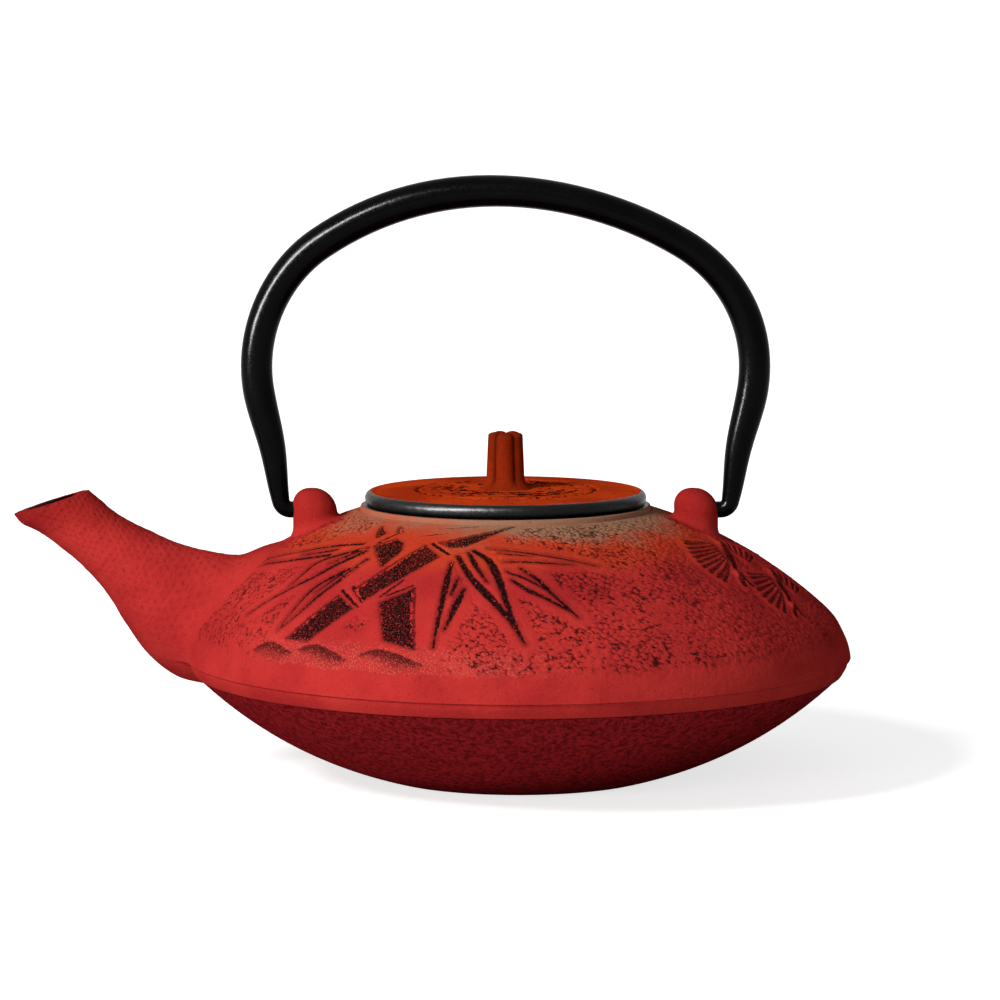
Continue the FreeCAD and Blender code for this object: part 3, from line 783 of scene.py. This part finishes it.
def strokeInk(p, ragged, points, widths):
    # how dark a tapered, rough-edged line is at each place, and the distance to it
    line = softLine(points)
    places = shoulderPlace(line[:, 0], line[:, 1])
    near = np.full(len(p), 99.0)
    ink_and_shade = np.zeros(len(p))
    low, high = places.min(0) - 4, places.max(0) + 4
    close = np.nonzero(np.all((p > low) & (p < high), 1))[0]
    q = p[close]
    for i in range(len(places) - 1):
        along = places[i + 1] - places[i]
        t = np.clip((q - places[i]) @ along / max(along @ along, 1e-9), 0, 1)
        gap = np.linalg.norm(q - places[i] - t[:, None] * along, axis=1)
        whole = (i + t) / (len(places) - 1)
        width = np.interp(whole, [0, 0.4, 1], widths)
        ink_and_shade[close] = np.maximum(ink_and_shade[close], smooth(0.22, -0.12, gap - width - ragged[close]))
        near[close] = np.minimum(near[close], gap)
    return ink_and_shade, near


def insideOutline(degrees, radius, corners):
    hits = np.zeros(len(degrees), int)
    for (a, r), (b, s) in zip(corners, corners[1:] + corners[:1]):
        if a != b:
            between = (degrees >= min(a, b)) & (degrees < max(a, b))
            hits += between & (radius < r + (s - r) * (degrees - a) / (b - a))
    return hits % 2 == 1


def reliefAt(degrees, radius):
    # height over the ground, solid ink, and rough dark grain that also holds painted shade under the mound crests
    p = shoulderPlace(degrees, radius)
    ragged = np.array([0.22 * noise.noise(Vector(q) * 1.1) + 0.12 * noise.noise(Vector(q) * 2.6) for q in p])
    ink_and_shade, rough, height, calm = np.zeros((4, len(p)))
    for upper, lower, rib, widths in ornament["leaves"]:
        lines = [strokeInk(p, ragged, line, widths) for line in (upper, lower)]
        lines.append(strokeInk(p, ragged, rib, tuple(w * 0.7 for w in widths)))
        within = insideOutline(degrees, radius, softLine(upper).tolist() + softLine(lower).tolist()[::-1])
        edge = np.minimum(lines[0][1], lines[1][1])
        height += within * relief["leaf"] * smooth(0, 2.2, edge)
        for drawn, near in lines:
            ink_and_shade = np.maximum(ink_and_shade, drawn)
            rough = np.maximum(rough, 0.42 * smooth(1.7, 0.5, near))
            calm = np.maximum(calm, smooth(4, 2, near))
        calm = np.maximum(calm, within)
    for corners in ornament["stems"]:
        within = insideOutline(degrees, radius, corners)
        rough = np.maximum(rough, within)
        calm = np.maximum(calm, within)
        for i, (a, b) in enumerate(zip(corners, corners[1:] + corners[:1])):
            drawn, near = strokeInk(p, ragged, [a, b], (0.2, 0.25, 0.2) if i else (0.6, 0.85, 0.5))
            ink_and_shade = np.maximum(ink_and_shade, drawn * 0.8)
            rough = np.maximum(rough, 0.35 * smooth(1.2, 0.2, near))
            calm = np.maximum(calm, smooth(4, 2, near))
    for points, widths in ornament["lines"]:
        drawn, near = strokeInk(p, ragged, points, widths)
        ink_and_shade = np.maximum(ink_and_shade, drawn)
        calm = np.maximum(calm, smooth(3, 1.5, near))
    for crest in ornament["mounds"]:
        line = softLine(crest)
        top = np.interp(degrees, line[:, 0], line[:, 1], left=99, right=99)
        across = (degrees - crest[0][0]) / (crest[-1][0] - crest[0][0])
        depth = 3.0 * np.clip(4 * across * (1 - across), 0, 1) + 0.1
        below = (radius - top) / depth
        shown = smooth(-0.12, 0.1, below + 0.3 * ragged) * (top < 90)
        # painted shade: the rough grain darkens just under each crest
        rough = np.maximum(rough, 0.85 * shown * smooth(1, 0.1, below))
        height += relief["mound"] * shown * smooth(1.6, 0.5, below)
        ink_and_shade = np.maximum(ink_and_shade, 0.85 * strokeInk(p, ragged, crest, (0.15, 0.5, 0.15))[0])
    for front, rear, count in ornament["wings"]:
        front, rear = softLine(front, 12), softLine(rear, 12)
        for i in range(count + 1):
            a, b = front[i * (len(front) - 1) // count], rear[i * (len(rear) - 1) // count]
            drawn, near = strokeInk(p, ragged, [a, b], (0.2, 0.4, 0.7))
            ink_and_shade = np.maximum(ink_and_shade, drawn * 0.85)
            height += relief["feather"] * smooth(2.0, 0.8, near)
            calm = np.maximum(calm, smooth(3, 1.5, near))
        drawn, near = strokeInk(p, ragged, front[::6], (0.3, 0.5, 0.3))
        ink_and_shade = np.maximum(ink_and_shade, drawn * 0.8)
    for points, widths in ornament["bodies"]:
        drawn, near = strokeInk(p, ragged, points, widths)
        ink_and_shade = np.maximum(ink_and_shade, drawn * 0.9)
        height += relief["bird"] * smooth(2.2, 0.4, near)
        calm = np.maximum(calm, smooth(3, 1.5, near))
    height -= relief["groove"] * ink_and_shade + 0.1 * rough
    return height, ink_and_shade, rough, calm


def pitMask(degrees, radius):
    # where the ground is pitted: beside and between the leaves, not on the smooth border
    border = smooth(85, 82.2, radius) * smooth(36.8, 39.5, radius)
    around = np.abs((degrees + 180) % 360 - 180)
    right = smooth(-20, -9, degrees)
    left = 0.9 * smooth(-40, -50, degrees)
    between = 0.9 * smooth(1.2, 0.5, np.hypot((degrees + 31) / 3, (radius - 74) / 4))
    return border * np.maximum.reduce([right, left, between, smooth(95, 105, around)])


def pitTone(degrees):
    # the pits are rubbed fainter towards the right
    return 0.7 + 0.26 * smooth(60, 25, degrees)


def pitsAt(p, mask):
    # dark broken crevices between small pebbles
    crevice = np.zeros(len(p))
    broken = np.zeros(len(p))
    for i in np.nonzero(mask > 0.02)[0]:
        place = Vector(p[i])
        bent = place + 0.4 * noise.noise_vector(place * 1.1)
        gaps = noise.voronoi(bent / relief["pebble"])[0]
        crevice[i] = 1 - min(1.0, max(0.0, (gaps[1] - gaps[0] - 0.04) / 0.26))
        broken[i] = noise.noise(place * 0.7 + Vector((3, 9, 4))) + 0.7 * noise.noise(place * 0.11)
    shown = smooth(-0.4, 0.0, broken + 0.6 * (mask - 0.9)) * mask
    return -relief["pit"] * crevice * mask, crevice ** 1.1 * shown


def reliefPanel(name, start, end, columns, turned):
    # fine sheet on the shoulder that carries the drawn relief, turned by so many degrees
    bm = bmesh.new()
    low, high = relief["low"], relief["high"]
    bmesh.ops.create_grid(bm, x_segments=columns, y_segments=relief["rows"], size=0.5)
    flat = np.array([v.co for v in bm.verts]) + 0.5
    degrees = start + (end - start) * flat[:, 0]
    radius = low + (high - low) * flat[:, 1]
    height, ink_and_shade, rough, calm = reliefAt(degrees, radius)
    p = shoulderPlace(degrees + turned, radius)
    mask = pitMask(degrees, radius) * (1 - calm)
    pitHeight, pitInk = pitsAt(p, mask)
    tone = pitTone(degrees)
    grain = np.array([noise.noise(Vector(q) * 1.6) for q in p])
    height += pitHeight + rough * relief["grain"] * grain
    sideways = np.minimum(flat[:, 0], 1 - flat[:, 0]) * (end - start) * 1.05
    fade = smooth(0, 12, sideways) * smooth(0, 3, high - radius)
    for side in (-1, 1):
        fade = fade * smooth(1.0, 7.0, earGap(p, side))
    fade = fade * smooth(0.5, 5.0, spoutGap(spoutTree, p))
    wear = smooth(77, 81, radius) * smooth(-62, -40, degrees) * smooth(16, -4, degrees)
    bend = np.where(radius[:, None] < shoulderBreak[0], np.array([shoulderCentre]), np.array([bellyCentre]))
    normals = np.stack([(radius - bend[:, 0]) * np.sin(np.radians(degrees + turned)),
                        -(radius - bend[:, 0]) * np.cos(np.radians(degrees + turned)), p[:, 2] - bend[:, 1]], 1)
    normals /= np.linalg.norm(normals, axis=1)[:, None]
    lift = (relief["base"] + height) * fade - 0.2 * (1 - fade)
    for vert, place, normal, rise in zip(bm.verts, p, normals, lift):
        away = Vector(normal)
        hit = shoulderTree.ray_cast(Vector(place) * mm + away * 6 * mm, -away, 0.012)[0]
        vert.co = (hit if hit else Vector(place) * mm) + away * rise * mm
    inkAndShadeLayer, grainShadeLayer, wearLayer = (bm.verts.layers.float.new(label) for label in ("ink_and_shade", "rough", "wear"))
    for i, vert in enumerate(bm.verts):
        vert[wearLayer] = wear[i]
        vert[inkAndShadeLayer] = max(ink_and_shade[i], pitInk[i] * tone[i])
        vert[grainShadeLayer] = rough[i]
    hidden = [v for v, shown in zip(bm.verts[:], fade) if shown < 0.12]
    bmesh.ops.delete(bm, geom=hidden, context="VERTS")
    bm.faces.ensure_lookup_table()
    bmesh.ops.recalc_face_normals(bm, faces=bm.faces)
    if bm.faces[len(bm.faces) // 2].normal.z < 0:
        bmesh.ops.reverse_faces(bm, faces=bm.faces)
    return makePiece(name, bm, [redMaterial], "pot", ["pot_body"], sharp=70)


def pitSkin(bm):
    # pits on the rest of the skin, and small dimples on the spout
    p = np.array([v.co for v in bm.verts]) / mm
    x = p[:, 0] - axisShift(p[:, 2])
    degrees, radius = np.degrees(np.arctan2(x, -p[:, 1])), np.hypot(x, p[:, 1])
    height, ink_and_shade = pitsAt(p, pitMask(degrees, radius) * smooth(0.6, 0.1, np.abs(bodyGap(p))))
    ink_and_shade = ink_and_shade * pitTone(degrees)
    onSpout = smooth(0.8, 3.0, bodyGap(p)) * (p[:, 0] < -64) * smooth(32, 38, p[:, 2])
    for i in np.nonzero(onSpout > 0.02)[0]:
        place = Vector(p[i])
        height[i] += 0.12 * onSpout[i] * noise.noise(place * 0.55)
    # how far along and round the spout each place is, in dimples
    rows = np.array([spoutRow(k / 4) for k in range(4 * (len(spout["rows"]) - 1) + 1)])
    tops = np.stack([-bellyRadius - rows[:, 0], partingZ + rows[:, 1]], 1)
    unders = np.stack([-bellyRadius - rows[:, 2], partingZ + rows[:, 3]], 1)
    middles, ups = (tops + unders) / 2, (tops - unders) / np.linalg.norm(tops - unders, axis=1)[:, None]
    steps = np.linalg.norm(np.diff(middles, axis=0), axis=1)
    run = np.concatenate([[0], np.cumsum(steps)])
    flat = p[:, [0, 2]]
    along, around = np.zeros(len(p)), np.zeros(len(p))
    for i in np.nonzero(onSpout > 0.02)[0]:
        aside = flat[i] - middles
        lean = aside[:, 0] * ups[:, 1] - aside[:, 1] * ups[:, 0]
        k = int(np.argmin(np.abs(lean) + 0.2 * np.linalg.norm(aside, axis=1)))
        turn = math.atan2(p[i, 1], float(aside[k] @ ups[k]))
        along[i] = (run[k] - lean[k]) / spout["dimple"]
        around[i] = turn / (2 * math.pi) * spout["dimplesRound"]
        onSpout[i] *= smooth(2.6, 1.9, abs(turn))
    labels = ("dimple", "along", "around", "ink_and_shade")
    dimpleLayer, alongLayer, aroundLayer, inkAndShadeLayer = (bm.verts.layers.float.new(label) for label in labels)
    bm.normal_update()
    for i, vert in enumerate(bm.verts):
        vert.co += vert.normal * float(height[i]) * mm
        vert[inkAndShadeLayer] = float(ink_and_shade[i])
        vert[dimpleLayer], vert[alongLayer], vert[aroundLayer] = float(onSpout[i]), float(along[i]), float(around[i])


pitSkin(bm)
makePiece("pot_shoulder", bm, [redMaterial, blackEnamel], "pot", ["pot_body"])
reliefPanel("bamboo_front", -100, 34, 380, 0)
reliefPanel("bamboo_back", -100, 34, 380, 180)
reliefPanel("birds_front", 26, 106, 240, 0)
print("relief done")

# Under side of the spout's root, which reaches below the parting line
bm = spoutTube(0.0)
cutParting(bm, 1)
makePiece("spout_root", bm, [redMaterial], "pot", ["pot_body"])

# Lid: plate with a raised bead round it, a ring groove and a locating ring under it
lid = {"bead": 1.75, "thickness": 3.35, "dome": 0.65, "boss": 7.1, "groove": 22.8, "grooveWidth": 0.9,
       "grooveDepth": 0.5, "ringOuter": 27.95, "ringWidth": 2.6, "ringDepth": 5.0, "ringEdge": 0.4, "step": 0.45}
lidRadius = lidHigh.x - mouthX
lidTop = seatZ + lid["thickness"] + lid["dome"]


def lidPlate():
    beadCentre = (lidRadius - lid["bead"], seatZ + lid["bead"])
    edge = seatZ + lid["thickness"]
    ringInner = lid["ringOuter"] - lid["ringWidth"]

    def top(radius):
        return edge + lid["dome"] * (1 - ((radius - lid["boss"]) / (beadCentre[0] - lid["boss"])) ** 2)

    profile = [(0.0, lidTop), (lid["boss"] * 0.6, lidTop), (lid["boss"], lidTop)]
    radius = lid["boss"]
    while radius < beadCentre[0] - 1.4:
        radius += lid["step"]
        inGroove = max(0.0, 1 - abs(radius - lid["groove"]) / (lid["grooveWidth"] * 0.75))
        profile.append((radius, top(radius) - lid["grooveDepth"] * min(1.0, 1.6 * inGroove)))
    profile += arcPoints(beadCentre, lid["bead"], -12, 90, 14)
    # the bead's lower side stands nearly upright on the seat
    profile += [(lidRadius - inset, seatZ + up) for inset, up in ((0.06, 1.1), (0.22, 0.6), (0.55, 0.2), (1.1, 0.0))]
    ringLow, ringEdge = seatZ - lid["ringDepth"], lid["ringEdge"]
    profile += [
        (lid["ringOuter"], seatZ), (lid["ringOuter"], ringLow + ringEdge), (lid["ringOuter"] - ringEdge, ringLow),
        (ringInner + ringEdge, ringLow), (ringInner, ringLow + ringEdge), (ringInner, seatZ), (0.0, seatZ),
    ]
    bm = spun(profile, mouthX, steps=256)
    for vert in bm.verts:
        place = vert.co / mm
        reach = math.hypot(place.x - mouthX, place.y)
        if place.z > seatZ + 1.5 and reach < beadCentre[0] - 1.2:
            # cast grain, coarser inside the ring
            near = smooth(lid["groove"] - 1, lid["groove"] - 4, reach)
            near *= smooth(lid["boss"] - 1, lid["boss"] + 3, reach)
            coarse = float(near) * 0.22 * noise.noise(place * 0.45 + Vector((7, 0, 0)))
            vert.co.z += (0.05 * noise.noise(place * 0.8) + coarse) * mm
    for face in bm.faces:
        centre = face.calc_center_median() / mm
        reach = math.hypot(centre.x - mouthX, centre.y)
        border = beadCentre[0] + 0.35 + 0.5 * noise.noise(centre * 0.6)
        face.material_index = int(reach > border or centre.z < seatZ + 1.0)
    return bm


makePiece("lid_plate", lidPlate(), [orangeMaterial, blackEnamel], "lid", ["lid"])

# Knob: fluted post with a spread foot
knob = {"radius": 5.0, "lobes": 5, "flute": 0.9, "foot": 6.9, "taper": 0.91, "turn": 14.0}


def knobPost():
    height = knobTop - lidTop
    foot = knob["foot"] / knob["radius"]
    # (share of height, size, share of flute)
    rings = [(-0.02, foot, 0.0), (0.02, foot * 0.96, 0.05), (0.06, 1.16, 0.25), (0.11, 1.05, 0.7), (0.18, 1.0, 1.0)]
    rings += [(0.18 + 0.72 * i / 10, 1.0 + (knob["taper"] - 1.0) * i / 10, 1.0) for i in range(1, 11)]
    rings += [(0.945, 0.90, 1.0), (0.975, 0.80, 1.1), (0.99, 0.62, 1.3), (0.985, 0.36, 1.6), (0.955, 0.12, 1.0)]
    bm = bmesh.new()
    inkAndShadeLayer = bm.verts.layers.float.new("ink_and_shade")
    made = []
    for share, size, flute in rings:
        ring = bmesh.ops.create_circle(bm, segments=100, radius=1.0)["verts"]
        for vert in ring:
            turn = math.atan2(vert.co.y, vert.co.x)
            lobe = abs(math.sin(knob["lobes"] * (turn - math.radians(knob["turn"])) / 2)) ** 0.7
            radius = knob["radius"] * size - knob["flute"] * flute * (1 - lobe) * min(1.0, size)
            lift = 0.5 * (lobe - 0.5) if share > 0.93 else 0.0
            # painted shade darkens the flute valleys
            vert[inkAndShadeLayer] = 0.8 * min(1.0, flute) * max(0.0, 1 - lobe * 1.5) ** 1.2
            up = lidTop + height * share + lift
            vert.co = Vector((mouthX + radius * math.cos(turn), radius * math.sin(turn), up)) * mm
        made.append(ring)
    return joinRings(bm, made)


makePiece("lid_knob_post", knobPost(), [knobOrange], "lid", ["lid_knob"], sharp=60)

# Handle: bent rod, thinner towards its hooks
handle = {"grip": 4.05, "peg": 2.1, "legSlope": 11.0, "sideHeight": 36.6, "rise": 44.9, "sideShare": 0.83,
          "skew": 3.1, "bendInside": 0.6, "legGap": 0.5, "pegLength": 6.7, "legEnd": 2.3, "bow": 0.6}


def handleLine():
    # middle line of one half from the crown to the peg, as (x, height above the hinge line, radius)
    slope = handle["legSlope"]
    leanOut, leanUp = math.sin(math.radians(slope)), math.cos(math.radians(slope))
    bend = handle["peg"] + handle["bendInside"]
    bendEnd = (earReach + ears["length"] / 2 + handle["legGap"], 0.0)
    bendCentre = (bendEnd[0], bend)
    bendTop = polar(bendCentre, bend, 90 + slope)
    sideRadius = handle["rise"] * handle["sideShare"]
    legTopUp = handle["sideHeight"] - sideRadius * leanOut
    legTop = (bendTop[0] + (legTopUp - bendTop[1]) / leanUp * leanOut, legTopUp)
    sideCentre = (legTop[0] - sideRadius * leanUp, handle["sideHeight"])
    crownRadius = (sideCentre[0] ** 2 + handle["rise"] ** 2 - sideRadius ** 2) / (2 * (handle["rise"] - sideRadius))
    crownCentre = (0.0, handle["sideHeight"] + handle["rise"] - crownRadius)
    meet = math.degrees(math.atan2(sideCentre[0], handle["sideHeight"] - crownCentre[1]))
    line = arcPoints(crownCentre, crownRadius, 0, meet, 14)
    line += arcPoints(sideCentre, sideRadius, meet, 90 + slope, 24)[1:]
    line = [(x, z, handle["grip"]) for x, z in line]
    for i in range(1, 13):
        t = i / 12
        thin = handle["grip"] + (handle["legEnd"] - handle["grip"]) * t ** 1.4
        bowed = handle["bow"] * math.sin(math.pi * t) ** 2
        down = legTop[1] + (bendTop[1] - legTop[1]) * t
        line.append((legTop[0] + (bendTop[0] - legTop[0]) * t - bowed, down, thin))
    for i, (x, z) in enumerate(arcPoints(bendCentre, bend, 90 + slope, 180, 10)[1:], 1):
        line.append((x, z, handle["legEnd"] + (handle["peg"] - handle["legEnd"]) * i / 10))
    line += [(bendEnd[0] - handle["pegLength"] * i / 4, 0.0, handle["peg"]) for i in range(1, 5)]
    return line


def handleRod():
    half = handleLine()
    line = [(-x, z, r) for x, z, r in reversed(half)] + half[1:]
    bm = bmesh.new()
    rings = []
    for i, (x, z, radius) in enumerate(line):
        before, after = line[max(i - 1, 0)], line[min(i + 1, len(line) - 1)]
        along = Vector((after[0] - before[0], 0, after[1] - before[1])).normalized()
        turned = Vector((0, 0, 1)).rotation_difference(along).to_matrix().to_4x4()
        ring = bmesh.ops.create_circle(bm, segments=40, radius=radius * mm)["verts"]
        place = Matrix.Translation(Vector((x, 0, z)) * mm) @ turned
        bmesh.ops.transform(bm, verts=ring, matrix=place)
        rings.append(ring)
    joinRings(bm, rings)
    crown = handle["sideHeight"] + handle["rise"]
    for vert in bm.verts:
        climb = max(0.0, (vert.co.z / mm - handle["sideHeight"]) / (crown - handle["sideHeight"]))
        vert.co.x += (mouthX - handle["skew"] * min(climb, 1.1) ** 3) * mm
        vert.co.z += hingeZ * mm
    return bm


makePiece("handle_rod", handleRod(), [handleBlack], "handle", ["handle"], sharp=60)

# Infuser: flanged rim, perforated wall and closed base
infuser = {"sheet": 0.7, "wallHoles": (110, 18), "clearance": 0.35, "band": 9.0, "baseBand": 5.0, "depth": 42.0,
           "bridge": 0.34, "wall": 0.35}
ledgeZ = seatZ - mouth["ledgeDepth"]
basketRadius = mouth["bore"] - infuser["clearance"]
basketLow = ledgeZ - infuser["depth"]


def infuserRim():
    flange = mouth["bore"] + mouth["ledgeWidth"] - infuser["clearance"]
    inner = basketRadius - infuser["sheet"]
    low = ledgeZ - infuser["band"]
    top = ledgeZ + infuser["sheet"]
    return spun([
        (inner, low), (basketRadius, low), (basketRadius, ledgeZ), (flange - 0.3, ledgeZ), (flange, ledgeZ + 0.2),
        (flange, top - 0.2), (flange - 0.3, top), (inner + 0.9, top), (inner + 0.25, top - 0.2), (inner, top - 0.8),
    ], mouthX, steps=128, closed=True)


def infuserWall():
    # sheet of small square holes rolled into a tube
    around, up = infuser["wallHoles"]
    radius = basketRadius - infuser["sheet"] * 1.1
    low, high = basketLow + infuser["sheet"] + 0.2, ledgeZ - infuser["band"] + 2.5
    bm = bmesh.new()
    bmesh.ops.create_grid(bm, x_segments=around, y_segments=up, size=0.5)
    holed = [f for f in bm.faces if abs(f.calc_center_median().y) < 0.42]
    bmesh.ops.inset_individual(bm, faces=holed, thickness=infuser["bridge"] * 0.5 / around, use_even_offset=False)
    bmesh.ops.delete(bm, geom=holed, context="FACES")
    for vert in bm.verts:
        turn = vert.co.x * 2 * math.pi
        vert.co = Vector((mouthX + radius * math.cos(turn), radius * math.sin(turn),
                          low + (high - low) * (vert.co.y + 0.5))) * mm
    bmesh.ops.remove_doubles(bm, verts=bm.verts, dist=0.01 * mm)
    bmesh.ops.recalc_face_normals(bm, faces=bm.faces)
    bmesh.ops.solidify(bm, geom=bm.faces[:], thickness=infuser["wall"] * mm)
    return bm


def infuserBase():
    inner, floorTop = basketRadius - infuser["sheet"], basketLow + infuser["sheet"]
    top = basketLow + infuser["baseBand"]
    return spun([
        (0.0, basketLow), (basketRadius - 0.8, basketLow), (basketRadius, basketLow + 0.8), (basketRadius, top),
        (inner, top), (inner, basketLow + 1.2), (basketRadius - 1.2, floorTop), (0.0, floorTop),
    ], mouthX, steps=128)


makePiece("infuser_collar", infuserRim(), [steelMaterial], "infuser", ["infuser_rim"])
makePiece("infuser_screen", infuserWall(), [steelMaterial], "infuser", ["infuser_mesh"])
makePiece("infuser_pan", infuserBase(), [steelMaterial], "infuser", ["infuser_base"])
# the washer keeps its solid
washer = frame["nodes"]["knob_washer"].data
washer.materials.clear()
washer.materials.append(steelMaterial)

# Camera at the photograph's place
view = {"distance": 1.2, "pitch": 6.372, "aim": (-0.00423, 0.0, 0.07026), "lens": 168.75}
pitch = math.radians(view["pitch"])
cameraData = bpy.data.cameras.new("camera")
cameraData.lens = view["lens"]
cameraData.sensor_width = 36
camera = bpy.data.objects.new("camera", cameraData)
camera.location = Vector(view["aim"]) + view["distance"] * Vector((0, -math.cos(pitch), math.sin(pitch)))
camera.rotation_euler = (math.radians(90) - pitch, 0, 0)
scene.collection.objects.link(camera)
scene.camera = camera


def seenRay(tree):
    # rays that show the background: to the eye, in gloss and through glass
    path = addNode(tree, "LightPath").outputs
    seen = sums(tree, "MAXIMUM", path["Is Camera Ray"], path["Is Glossy Ray"])
    return sums(tree, "MAXIMUM", seen, path["Is Transmission Ray"])


world = bpy.data.worlds.new("studio")
world.use_nodes = True
tree = world.node_tree
background = tree.nodes["Background"]
tree.links.new(mixed(tree, seenRay(tree), (0.17, 0.17, 0.175, 1), (1, 1, 1, 1)), background.inputs["Color"])
scene.world = world
scene.view_settings.view_transform = "Standard"


def addLamp(name, place, aim, size, power, mirrored=True):
    data = bpy.data.lights.new(name, "AREA")
    data.shape = "DISK"
    data.size = size
    data.energy = power
    lamp = bpy.data.objects.new(name, data)
    lamp.location = place
    lamp.rotation_mode = "QUATERNION"
    lamp.rotation_quaternion = (Vector(aim) - Vector(place)).to_track_quat("-Z", "Y")
    lamp.visible_glossy = mirrored  # the fills don't show in the gloss
    scene.collection.objects.link(lamp)
    return lamp


addLamp("key", (-1.15, -1.0, 1.15), (0, 0, 0.06), 0.5, 26)
addLamp("fill", (0.9, -1.4, 0.5), (0, 0, 0.08), 1.2, 2.7, False)
addLamp("low_fill", (-0.8, -1.2, 0.12), (0, 0, 0.03), 0.7, 10, False)
# leaning strip that draws the long highlight on the black pieces alone, as it would dazzle in the steel
strip = addLamp("strip", (-0.9, -0.95, 0.75), (0, 0, 0.75), 0.28, 420)
strip.rotation_quaternion @= Quaternion((0, 0, 1), -0.7)
strip.data.shape = "RECTANGLE"
strip.data.size_y = 1.4
strip.visible_diffuse = False
glossy = bpy.data.collections.new("glossy")
for name in ("handle_rod", "lid_plate"):
    glossy.objects.link(bpy.data.objects[name])
strip.light_linking.receiver_collection = glossy


def addFloor():
    # white to the eye, dim to bounced light, and it keeps the pot's shadow
    material, tree, shader = startMaterial("floor_white")
    seen = seenRay(tree)
    colour = mixed(tree, seen, (0.44, 0.44, 0.44, 1), (0.85, 0.85, 0.85, 1))
    setInputs(tree, shader, Base_Color=colour, Roughness=0.9, Specular_IOR_Level=0.0, Emission_Color=(1, 1, 1, 1))
    place = addNode(tree, "TexCoord").outputs["Object"]
    far = addNode(tree, "VectorMath", {"operation": "LENGTH"}, i0=place).outputs["Value"]
    glow = ramp(tree, far, 0.15, 0.8, 0.72, 1.0)
    setInputs(tree, shader, Emission_Strength=times(tree, glow, seen))
    bm = bmesh.new()
    bmesh.ops.create_grid(bm, x_segments=1, y_segments=1, size=25.0, matrix=Matrix.Translation((0, 0, -0.1 * mm)))
    mesh = meshOf(bm, "floor")
    mesh.materials.append(material)
    floor = bpy.data.objects.new("floor", mesh)
    scene.collection.objects.link(floor)


addFloor()
print("studio made")
